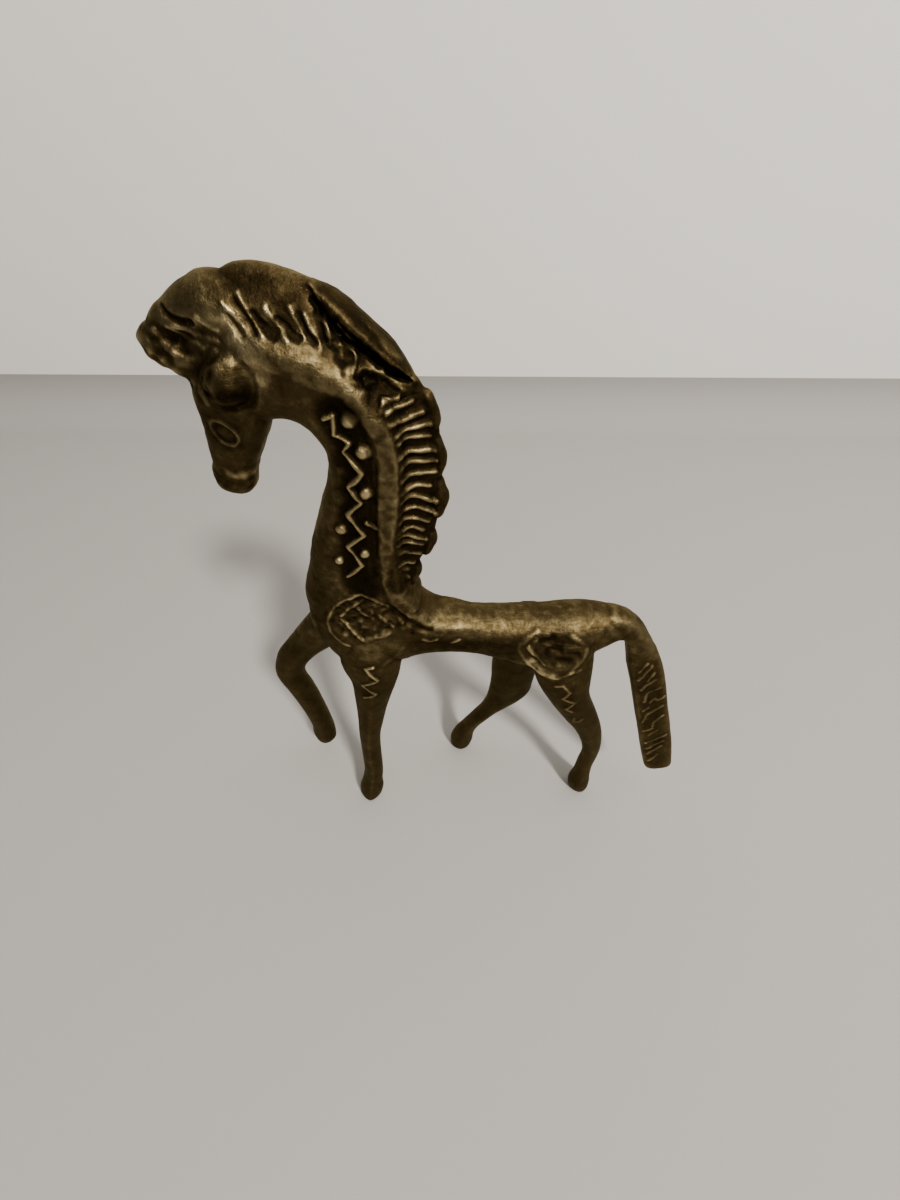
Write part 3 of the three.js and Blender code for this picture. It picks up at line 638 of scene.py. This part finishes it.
FORELEG_ZIGZAG = [(-12.2, 53.4), (-13.4, 53.1), (-12.8, 51.9), (-11.8, 50.0), (-14.5, 48.6), (-12.6, 46.0),
                  (-14.7, 44.4)]
HINDLEG_ZIGZAG = [(17.6, 49.2), (18.6, 49.7), (20.0, 47.7), (19.2, 45.8), (21.5, 44.3), (20.5, 42.2),
                  (21.6, 41.2)]
HINDLEG_TICK = [(22.4, 38.6), (23.0, 36.8), (24.2, 38.2)]
BARREL_DASHES = [[(-4.0, 58.3), (-3.0, 57.7), (-2.0, 58.0)], [(0.3, 56.9), (1.5, 57.6)]]
BARREL_CREASE = [(-7.5, 60.1), (-3.0, 59.0), (3.1, 58.3), (9.4, 57.9), (12.4, 58.6), (16.9, 59.1),
                 (23.2, 58.2)]

TAIL_FACE = [(33.2, 50.2), (37.0, 37.6), (40.0, 29.0), (42.6, 20.5)]
TAIL_STROKES = [
    [(32.3, 48.3), (33.0, 50.6)],
    [(32.8, 46.3), (33.2, 47.8), (33.9, 50.0)],
    [(34.3, 46.3), (34.7, 48.4)],
    [(33.9, 43.6), (34.5, 45.4), (35.6, 46.6)],
    [(35.3, 40.2), (35.2, 42.7), (36.2, 43.9), (36.9, 44.5)],
    [(36.3, 40.4), (36.7, 41.6), (37.4, 41.3), (38.3, 41.9)],
    [(35.9, 37.6), (36.4, 38.8)],
    [(36.7, 34.0), (36.9, 36.7), (37.9, 38.3), (38.7, 39.6)],
    [(38.7, 33.0), (38.8, 34.8), (39.7, 36.6)],
    [(37.7, 30.9), (38.9, 32.4)],
    [(39.0, 29.8), (40.0, 31.8)],
    [(39.3, 26.9), (40.7, 28.9), (42.1, 30.6)],
    [(40.0, 24.9), (41.2, 27.0), (42.2, 28.4)],
    [(40.6, 22.8), (41.5, 24.9), (42.4, 26.6)],
    [(41.6, 20.0), (42.7, 23.2)],
]


class Relief:
    """What stands proud of one side of the skin or is sunk into it, laid out in the side outline."""

    def __init__(self, points, normals, side):
        # Hand-cut lines waver: a place is read a little off its true one, and strokes swell and thin
        waver, waver_length, wear_length = 0.13, 1.1, 1.2
        self.points = points
        self.x = points[:, 0] + waver * value_noise(points, waver_length, 22)
        self.z = points[:, 2] + waver * value_noise(points, waver_length, 23)
        self.wear = 0.9 + 0.35 * value_noise(points, wear_length, 21)
        self.facing = ramp(0.05, 0.4, normals[:, 1] * side) * ramp(-0.4, 0.3, points[:, 1] * side)
        self.rise = np.zeros(len(points))
        # The dark layer: patina, and in a few places painted shade (under the ear, below the barrel's crease
        # and on the leaf's body)
        self.patina_and_shade = np.zeros(len(points))
        # The bright layer: wear from handling, and along the ridge band, the nape, the withers and the back
        # partly a painted highlight
        self.rubbed_and_highlight = np.zeros(len(points))

    def nearness(self, paths, width):
        """1 along the middle of each stroke, and 0 from its foot on."""
        best = np.zeros(len(self.x))
        for path in paths:
            smooth = curved(path) if len(path) > 2 else path
            best = np.maximum(best, bead(distance_to(self.x, self.z, smooth), width * self.wear))
        return best

    def raised(self, paths, width, height, clean=0.85, where=1.0):
        """Raised strokes: clean is the share of the patina that wear has taken off their crests."""
        best = self.nearness(paths, width) * where
        self.rise += height * best * self.wear
        self.patina_and_shade *= 1 - clean * best

    def bent(self, path, width, height):
        """A raised line with sharp corners."""
        best = bead(distance_to(self.x, self.z, path), width * self.wear)
        self.rise += height * best * self.wear
        self.patina_and_shade *= 1 - 0.85 * best
        self.rubbed_and_highlight = np.maximum(self.rubbed_and_highlight, 0.15 * best)

    def sunk(self, paths, width, depth, dark):
        """Sunk strokes: dark is the patina left at their bottom."""
        best = self.nearness(paths, width)
        self.rise -= depth * best
        self.patina_and_shade = np.maximum(self.patina_and_shade, dark * best)

    def bed(self, path, half_width, depth, dark, soft=0.8):
        """A flat-bottomed band with soft sides, sunk and dark."""
        away = distance_to(self.x, self.z, curved(path))
        best = 1 - ramp(half_width - soft / 2, half_width + soft / 2, away)
        self.rise -= depth * best
        self.patina_and_shade = np.maximum(self.patina_and_shade, dark * best)

    def worn(self, path, reach, amount):
        """A broad place made brighter: worn bright by hands, and in some places also a painted highlight."""
        near = ramp(reach, 0.3 * reach, distance_to(self.x, self.z, curved(path), reach + 1))
        self.rubbed_and_highlight = np.maximum(self.rubbed_and_highlight, amount * near)

    def rough(self, share, size, height, seed, dark):
        """Lumps and pits over part of the skin, with patina left in the pits."""
        lumps = value_noise(self.points, size, seed)
        self.rise += height * share * lumps
        self.patina_and_shade = np.maximum(self.patina_and_shade, dark * share * ramp(0.1, -0.5, lumps))

    def knobs(self, places, height, clean=0.9):
        """Round bosses with full sides, their crowns rubbed."""
        for x, z, width in places:
            away = np.hypot(self.points[:, 0] - x, self.points[:, 2] - z)
            best = np.clip(1 - (2 * away / width) ** 2, 0, 1) ** 0.75
            self.rise += height * best
            self.patina_and_shade *= 1 - clean * best
            self.rubbed_and_highlight = np.maximum(self.rubbed_and_highlight, 0.3 * clean * best)


def carve_neck(relief, seen):
    relief.bed(NECK_PANEL, 1.9, 0.3, 0.8, soft=1.8)
    relief.sunk([RIDGE_SIDE], 1.3, 0.12, 0.7)
    relief.bent(NECK_ZIGZAG, 1.0, 0.5)
    if seen:
        relief.knobs(NECK_DOTS, 0.6)
        relief.knobs(WORN_DOTS, 0.14, clean=0.3)
        relief.raised([NECK_TICK], 1.0, 0.4)
    band = ramp(1.8, 1.2, distance_to(relief.x, relief.z, curved(RIDGE_BAND)))
    relief.rough(band, 0.5, 0.035, 37, 0.12)
    # The ridge band brightened: partly wear, partly a painted highlight along the bend
    relief.worn(RIDGE_BAND, 2.1, 0.14)


def carve_mane(relief, seen):
    relief.bed(MANE_BAND, 1.5, 0.0, 0.45, soft=1.4)
    relief.sunk(BEND_HOLLOWS, 1.0, 0.2, 0.75)
    relief.raised(BEND_STROKES, 0.68, 0.17, clean=0.5)
    if seen:
        relief.rough(ramp(2.0, 1.2, distance_to(relief.x, relief.z, NET_ZONE)), 0.6, 0.12, 34, 0.9)
        relief.raised(BEND_NET, 0.45, 0.08, clean=0.4)
    relief.bed(MANE_BED, 2.1, 0.15, 0.52, soft=1.0)
    off_ridge = ramp(1.0, 1.8, distance_to(relief.x, relief.z, curved(RIDGE_BAND)))
    relief.raised(MANE_RIBS, 0.95, 0.42, where=off_ridge)


def carve_leaf(relief):
    # The leaf's body is darkened without sinking: partly patina, partly painted shade where its hollowed face
    # turns from the light
    relief.bed(LEAF_SHADE, 1.4, 0.0, 0.9, soft=1.0)
    relief.sunk([LEAF_CREVICE], 1.0, 0.4, 1.0)
    relief.raised(LEAF_EDGES, 0.55, 0.16)


def carve_head(relief):
    tuft = ramp(-20.8, -22.2, relief.x) * ramp(102.0, 100.8, relief.z) * ramp(94.0, 96.0, relief.z)
    relief.rough(tuft, 0.8, 0.18, 31, 0.35)
    relief.sunk([FORELOCK_CREASE], 0.9, 0.22, 0.8)
    relief.raised(FORELOCK_STRANDS, 0.7, 0.13)
    ear = np.hypot(relief.x - EAR[0], relief.z - EAR[1])
    relief.rough(ramp(2.5, 1.9, ear), 0.9, 0.1, 32, 0.5)
    relief.sunk([EAR_FOLD], 1.0, 0.1, 0.7)
    relief.raised([EAR_RIM], 0.7, 0.12, clean=0.5)
    relief.raised([NAPE_FOLD], 2.4, 0.16)
    # The nape fold brightened: partly wear, partly a painted highlight
    relief.worn(NAPE_FOLD, 2.4, 0.6)
    # Painted shadow on the lower, rearward side of the ear, where its own shade falls; the whole ear also
    # gets a little more patina
    painted_shadow_under_ear = ramp(2.7, 2.2, ear) * ramp(1.2, -0.8, (relief.z - EAR[1]) - 0.8 * (relief.x - EAR[0]))
    relief.patina_and_shade = np.maximum(relief.patina_and_shade, 0.2 * ramp(2.6, 2.2, ear) + 0.7 * painted_shadow_under_ear)
    cheek = ramp(-16.0, -18.5, relief.x) * ramp(96.0, 93.5, relief.z)
    relief.patina_and_shade = np.maximum(relief.patina_and_shade, 0.3 * cheek)
    lean = math.radians(EYE_LEAN)
    dx, dz = relief.x - EYE[0], relief.z - EYE[1]
    along = dx * math.cos(lean) + dz * math.sin(lean)
    across = dz * math.cos(lean) - dx * math.sin(lean)
    almond = np.hypot(along / EYE_LONG, across / EYE_WIDE)
    rim = bead((almond - 1) * EYE_WIDE, 0.55)
    relief.patina_and_shade = np.maximum(relief.patina_and_shade, 0.4 * ramp(1.0, 0.85, almond))
    relief.rise += 0.17 * rim + 0.12 * np.clip(1 - (almond / 0.8) ** 2, 0, 1)
    relief.rise -= 0.08 * bead((almond - 0.8) * EYE_WIDE, 0.4)
    relief.raised([LIP], 1.5, 0.12)
    relief.worn(LIP, 1.2, 0.3)
    muzzle = ramp(88.0, 86.5, relief.z) * ramp(83.5, 84.5, relief.z) * ramp(-20.0, -21.0, relief.x)
    relief.rough(muzzle, 0.7, 0.1, 33, 0.6)


def carve_shoulder(relief, seen):
    inside = ramp(5.0, 3.8, np.hypot(relief.x - MEDALLION[0], relief.z - MEDALLION[1]))
    relief.rise -= 0.2 * inside
    relief.raised([SHOULDER_RING], 0.8, 0.24, clean=0.6)
    relief.worn(BREAST, 3.0, 0.3)
    if seen:
        relief.rough(inside, 0.55, 0.1, 38, 0.3)
        relief.raised(SHOULDER_BARS, 0.75, 0.2, clean=0.4)
        relief.raised([SHOULDER_THICK_BAR], 0.95, 0.3)
        relief.worn(SHOULDER_THICK_BAR, 1.0, 0.4)
        relief.raised([SHOULDER_FOOT], 1.5, 0.22, clean=0.6)
        relief.worn(SHOULDER_FOOT, 1.2, 0.35)
        relief.knobs(SHOULDER_KNOBS, 0.16, clean=0.6)
        relief.sunk([WITHERS_CREASE], 1.6, 0.18, 0.5)
        relief.raised([WITHERS_EDGE], 1.5, 0.2)
        # The withers brightened: partly wear, partly a painted highlight
        relief.worn(WITHERS_WEAR_AND_HIGHLIGHT, 1.9, 0.25)
        relief.rough(ramp(1.6, 0.8, distance_to(relief.x, relief.z, WITHERS_EDGE)), 0.9, 0.12, 35, 0.5)
        relief.raised([LEG_CREASE], 1.3, 0.08, clean=0.2)


def carve_hip(relief, seen):
    across = (relief.x - HIP_HOLLOW[0]) / HIP_HOLLOW_LONG
    up = (relief.z - HIP_HOLLOW[1]) / HIP_HOLLOW_HIGH
    hollow = np.clip(1 - np.hypot(across, up + HIP_HOLLOW_LEAN * across) ** 2, 0, 1)
    relief.rise -= (0.8 if seen else 0.5) * hollow ** 1.3
    relief.patina_and_shade = np.maximum(relief.patina_and_shade, 0.33 * ramp(0.1, 0.7, hollow))
    relief.rough(ramp(0.0, 0.4, hollow), 1.0, 0.16, 36, 0.6)
    relief.raised([HIP_RING], 1.25, 0.17, clean=0.4)
    if seen:
        relief.raised([HIP_FOLD], 1.0, 0.25)
        relief.raised([HIP_BAR], 1.1, 0.16, clean=0.5)
        relief.raised([HIP_MASS], 2.3, 0.4)
        relief.worn(HIP_MASS, 1.8, 0.9)
        relief.rough(ramp(2.0, 1.0, distance_to(relief.x, relief.z, HIP_MASS)), 0.8, 0.12, 39, 0.4)


def carve_barrel(relief):
    crease = np.interp(relief.x, [p[0] for p in BARREL_CREASE], [p[1] for p in BARREL_CREASE])
    along = ramp(-8.0, -4.5, relief.x) * ramp(12.0, 9.5, relief.x)
    # Below the barrel's crease the side is sunk a little and darkened: partly patina, partly painted shade on
    # the undercut that turns down from the light
    below = along * ramp(-0.4, 1.8, crease - relief.z) * ramp(50.0, 53.0, relief.z)
    relief.rise -= 0.4 * below
    relief.patina_and_shade = np.maximum(relief.patina_and_shade, 0.4 * below)
    relief.raised(BARREL_DASHES, 1.1, 0.28)
    # The top of the back brightened: partly wear, partly painted light on the lit top
    relief.worn(BACK, 3.6, 0.09)


def carve_legs_and_tail(relief):
    relief.bent(FORELEG_ZIGZAG, 0.9, 0.3)
    relief.bent(HINDLEG_ZIGZAG, 0.95, 0.24)
    relief.bent(HINDLEG_TICK, 0.8, 0.14)
    relief.bed(TAIL_FACE, 1.7, 0.1, 0.1, soft=1.6)
    relief.raised(TAIL_STROKES, 0.9, 0.2, clean=0.5)


def carving(points, normals, side):
    """How far each point of one side is raised or sunk, how thick the dark patina and the painted shade lie
    on it, and how far it is worn bright or given a painted highlight.
    """
    seen = side == LEFT
    relief = Relief(points, normals, side)
    carve_neck(relief, seen)
    carve_mane(relief, seen)
    carve_head(relief)
    carve_shoulder(relief, seen)
    carve_hip(relief, seen)
    carve_barrel(relief)
    if seen:
        carve_leaf(relief)
        carve_legs_and_tail(relief)
    return np.stack([relief.rise, relief.patina_and_shade, relief.rubbed_and_highlight]) * relief.facing


def patina_and_shade_all_round(x, z):
    """Patina that lies on every side of a form: on the legs and tail, the mane's lobes and the leaf; on the
    leaf's body it is partly painted shade.
    """
    tail = ramp(31.5, 33.5, x) * ramp(12.0, 15.0, z)
    limbs = 0.3 * ramp(53.0, 46.0, z) * (1 - 0.5 * tail)
    lobes = ramp(1.9, 1.0, distance_to(x, z, curved(LOBE_EDGE)))
    # On the leaf: partly patina, partly painted shade
    leaf = ramp(1.9, 1.0, distance_to(x, z, LEAF_SHADE))
    return np.maximum(limbs, np.maximum(0.7 * lobes, 0.6 * leaf))


def casting():
    forms = neck_and_head() + forelock() + mane() + trunk_and_tail() + legs()
    piece = fused("horse_casting", forms, SKIN_GRAIN)
    joins = Neighbours(piece.data)
    write_points(piece.data, joins.filleted(read_points(piece.data), FILLET_ROUNDS))
    for path, reach, spread in JOINS:
        fill_hollow(piece.data, joins, path, reach, spread)

    points, normals = read_points(piece.data), read_normals(piece.data)
    rise, patina_and_shade, rubbed_and_highlight = carving(points, normals, LEFT) + carving(points, normals, RIGHT)
    patina_and_shade = np.maximum(patina_and_shade, patina_and_shade_all_round(points[:, 0], points[:, 2]))
    lumps = sum(height * value_noise(points, size, seed) for seed, size, height in CAST_LUMPS)
    lumps *= 0.35 + 0.9 * ramp(44.0, 56.0, points[:, 2])
    points = points + normals * (rise + lumps)[:, None]
    points[:, 2] = np.maximum(points[:, 2], 0)
    write_points(piece.data, points)

    normals = read_normals(piece.data)
    near = joins.relaxed(points, round(0.9 / SKIN_GRAIN ** 2))
    proud = ((points - near) * normals).sum(1)
    # How deep each point lies in a broad hollow: the finish darkens such places, partly as patina and partly
    # as painted shade
    far = joins.relaxed(near, round(4.0 / SKIN_GRAIN ** 2))
    sheltered = ((far - near) * normals).sum(1)
    for name, values in (("proud", proud), ("sheltered", sheltered), ("patina_and_shade", patina_and_shade), ("rubbed_and_highlight", rubbed_and_highlight)):
        attribute = piece.data.attributes.new(name, "FLOAT", "POINT")
        attribute.data.foreach_set("value", values.astype(np.float32))

    triangles = sum(len(face.vertices) - 2 for face in piece.data.polygons)
    with_modifier(piece, "DECIMATE", ratio=min(1.0, SKIN_TRIANGLES / triangles))
    write_points(piece.data, (read_points(piece.data) - BOX_MIDDLE) * MM)
    piece.data.shade_smooth()
    return piece


# Finishes

def linear(hex_colour):
    """An sRGB hex colour as the linear colour that a shader takes."""
    parts = [int(hex_colour[i:i + 2], 16) / 255 for i in (1, 3, 5)]
    return [p / 12.92 if p <= 0.04045 else ((p + 0.055) / 1.055) ** 2.4 for p in parts] + [1.0]


def node(tree, kind, settings=None, **links):
    """Adds a node: settings go to its properties or inputs, and links join its inputs to outputs."""
    made = tree.nodes.new(kind)
    for name, value in (settings or {}).items():
        if isinstance(name, int) or name in made.inputs:
            made.inputs[name].default_value = value
        else:
            setattr(made, name, value)
    for name, source in links.items():
        socket = int(name[1:]) if name[0] == "_" and name[1:].isdigit() else name.replace("_", " ")
        tree.links.new(source, made.inputs[socket])
    return made


def aged_bronze():
    """Cast bronze, long handled: brown patina lies in the hollows and the raised parts are worn golden, with
    painted shade in broad hollows and painted highlights along the back, withers, ridge and nape.
    """
    material = bpy.data.materials.new("aged_cast_bronze")
    material.use_nodes = True
    tree = material.node_tree
    tree.nodes.clear()
    place = node(tree, "ShaderNodeTexCoord").outputs["Object"]
    proud = node(tree, "ShaderNodeAttribute", {"attribute_name": "proud"}).outputs["Fac"]
    sheltered = node(tree, "ShaderNodeAttribute", {"attribute_name": "sheltered"}).outputs["Fac"]
    patina_and_shade = node(tree, "ShaderNodeAttribute", {"attribute_name": "patina_and_shade"}).outputs["Fac"]
    rubbed_and_highlight = node(tree, "ShaderNodeAttribute", {"attribute_name": "rubbed_and_highlight"}).outputs["Fac"]

    # Clouds of patina 3 mm across, the grain of the cast skin at 0.4 mm, and bright flecks 0.6 mm apart
    mottle = node(tree, "ShaderNodeTexNoise", {"Scale": 1 / (3.0 * MM), "Detail": 6.0, "Roughness": 0.62},
                  Vector=place)
    grain = node(tree, "ShaderNodeTexNoise", {"Scale": 1 / (0.4 * MM), "Detail": 4.0, "Roughness": 0.7},
                 Vector=place)
    specks = node(tree, "ShaderNodeTexVoronoi", {"Scale": 1 / (0.6 * MM)}, Vector=place)

    # How bright the metal is: what stands proud is worn, what is sunk keeps its patina, and what lies deep in
    # a broad sheltered hollow is darkened, partly as patina and partly as painted shade
    worn = node(tree, "ShaderNodeMapRange", {"From Min": 0.0, "From Max": 0.15}, Value=proud)
    sunk = node(tree, "ShaderNodeMapRange", {"From Min": 0.0, "From Max": -0.2}, Value=proud)
    # Painted shade and patina in broad hollows: the more sheltered a point, the darker
    hollow_patina_and_shade = node(tree, "ShaderNodeMapRange", {"From Min": 0.15, "From Max": 0.9, "To Max": 0.8},
                Value=sheltered)
    dark = node(tree, "ShaderNodeMath", {"operation": "MAXIMUM"}, _0=sunk.outputs[0], _1=patina_and_shade)
    dark = node(tree, "ShaderNodeMath", {"operation": "MAXIMUM"}, _0=dark.outputs[0], _1=hollow_patina_and_shade.outputs[0])
    level = node(tree, "ShaderNodeMath", {"operation": "SUBTRACT"}, _0=worn.outputs[0], _1=dark.outputs[0])
    level = node(tree, "ShaderNodeMath", {"operation": "ADD"}, _0=level.outputs[0], _1=rubbed_and_highlight)
    level = node(tree, "ShaderNodeMath", {"operation": "MULTIPLY_ADD", 1: 0.45, 2: 0.02}, _0=level.outputs[0])
    level = node(tree, "ShaderNodeMath", {"operation": "MULTIPLY_ADD", 1: 0.5}, _0=mottle.outputs["Fac"],
                 _2=level.outputs[0])
    level = node(tree, "ShaderNodeMath", {"operation": "MULTIPLY_ADD", 1: 0.36}, _0=grain.outputs["Fac"],
                 _2=level.outputs[0])

    colour = node(tree, "ShaderNodeValToRGB", _0=level.outputs[0])
    stops = colour.color_ramp.elements
    stops[0].position, stops[0].color = 0.0, linear("#0f0c06")
    stops[1].position, stops[1].color = 1.0, linear("#b3a276")
    for position, tone in ((0.25, "#231b0d"), (0.5, "#413620"), (0.75, "#6d6042")):
        stops.new(position).color = linear(tone)

    gold = node(tree, "ShaderNodeMapRange", {"From Min": 0.1, "From Max": 0.04, "To Max": 0.25},
                Value=specks.outputs["Distance"])
    flecked = node(tree, "ShaderNodeMix", {"data_type": "RGBA", 7: linear("#a8935c")}, _0=gold.outputs[0],
                   _6=colour.outputs["Color"])
    gloss = node(tree, "ShaderNodeMapRange",
                 {"From Min": 0.1, "From Max": 0.9, "To Min": 0.6, "To Max": 0.34}, Value=level.outputs[0])
    skin = node(tree, "ShaderNodeBump", {"Strength": 0.8, "Distance": 0.13 * MM}, Height=grain.outputs["Fac"])
    metal = node(tree, "ShaderNodeBsdfPrincipled", {"Metallic": 1.0, "Specular Tint": linear("#dad3c3")},
                 Base_Color=flecked.outputs[2],
                 Roughness=gloss.outputs[0], Normal=skin.outputs["Normal"])
    node(tree, "ShaderNodeOutputMaterial", Surface=metal.outputs["BSDF"])
    return material


def matt_paint(name, tone):
    """Matt painted board: no gloss and no pattern, so the casting alone catches the light."""
    material = bpy.data.materials.new(name)
    material.use_nodes = True
    shader = material.node_tree.nodes["Principled BSDF"]
    shader.inputs["Base Color"].default_value = linear(tone)
    shader.inputs["Roughness"].default_value = 0.9
    return material


# Stage, light and camera, in metres round the casting

def stage():
    """A pale floor that turns up into a wall behind the horse."""
    wall, turn, half_width, height = 0.18, 0.02, 1.5, 1.2
    profile = [(-1.5, 0.0)] + [(wall - turn + turn * math.sin(a), turn - turn * math.cos(a))
                               for a in np.radians(range(0, 91, 10))] + [(wall, height)]
    points = [(x, y, z) for x in (-half_width, half_width) for y, z in profile]
    row = len(profile)
    sweep = mesh_object("floor", points, [[i, i + row, i + row + 1, i + 1] for i in range(row - 1)])
    sweep.data.materials.append(matt_paint("pale_matt_board", "#95928d"))
    sweep.data.materials.append(matt_paint("white_wall_paint", "#e2dfd8"))
    wall_face = row - 2
    sweep.data.polygons[wall_face].material_index = 1
    sweep.data.shade_smooth()


def lamp(name, place, target, size, watts, tone="#ffffff"):
    data = bpy.data.lights.new(name, "AREA")
    data.shape = "DISK"
    data.size = size
    data.energy = watts
    data.color = linear(tone)[:3]
    made = bpy.data.objects.new(name, data)
    bpy.context.scene.collection.objects.link(made)
    made.location = place
    made.rotation_euler = (Vector(target) - Vector(place)).to_track_quat("-Z", "Y").to_euler()


def light():
    heart = (0.0, 0.0, 0.05)
    lamp("window", (0.30, -0.42, 0.62), heart, 0.10, 10.4, "#fffaf4")
    lamp("ceiling", (0.2, 0.1, 1.0), heart, 0.8, 7.2)
    world = bpy.data.worlds.new("room")
    world.use_nodes = True
    sky = world.node_tree.nodes["Background"]
    sky.inputs["Color"].default_value = linear("#d8d4cf")
    sky.inputs["Strength"].default_value = 0.33
    bpy.context.scene.world = world


# Where the photographer's lens was, in the maker's frame
EYE_PLACE = (0.82, -46.74, 116.0)


def camera():
    """The photographer's view: a wide lens close above the horse, looking steeply down."""
    photo_width, photo_height = 900, 1200
    focal_in_pixels = 465
    sensor = 36.0
    data = bpy.data.cameras.new("camera")
    data.sensor_width = sensor
    data.lens = sensor * focal_in_pixels / max(photo_width, photo_height)
    data.clip_start = 0.005
    made = bpy.data.objects.new("camera", data)
    bpy.context.scene.collection.objects.link(made)
    place = (np.array(EYE_PLACE) - BOX_MIDDLE) * MM
    pitch, heading, roll = math.radians(48.7), math.radians(1.0), math.radians(-0.15)
    turn = Matrix.Rotation(heading, 4, "Z") @ Matrix.Rotation(math.pi / 2 - pitch, 4, "X")
    made.matrix_world = Matrix.Translation(place) @ turn @ Matrix.Rotation(roll, 4, "Z")
    bpy.context.scene.camera = made


camera()
light()
stage()

horse = casting()
horse.data.materials.append(aged_bronze())
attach(horse, "root")
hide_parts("horse")
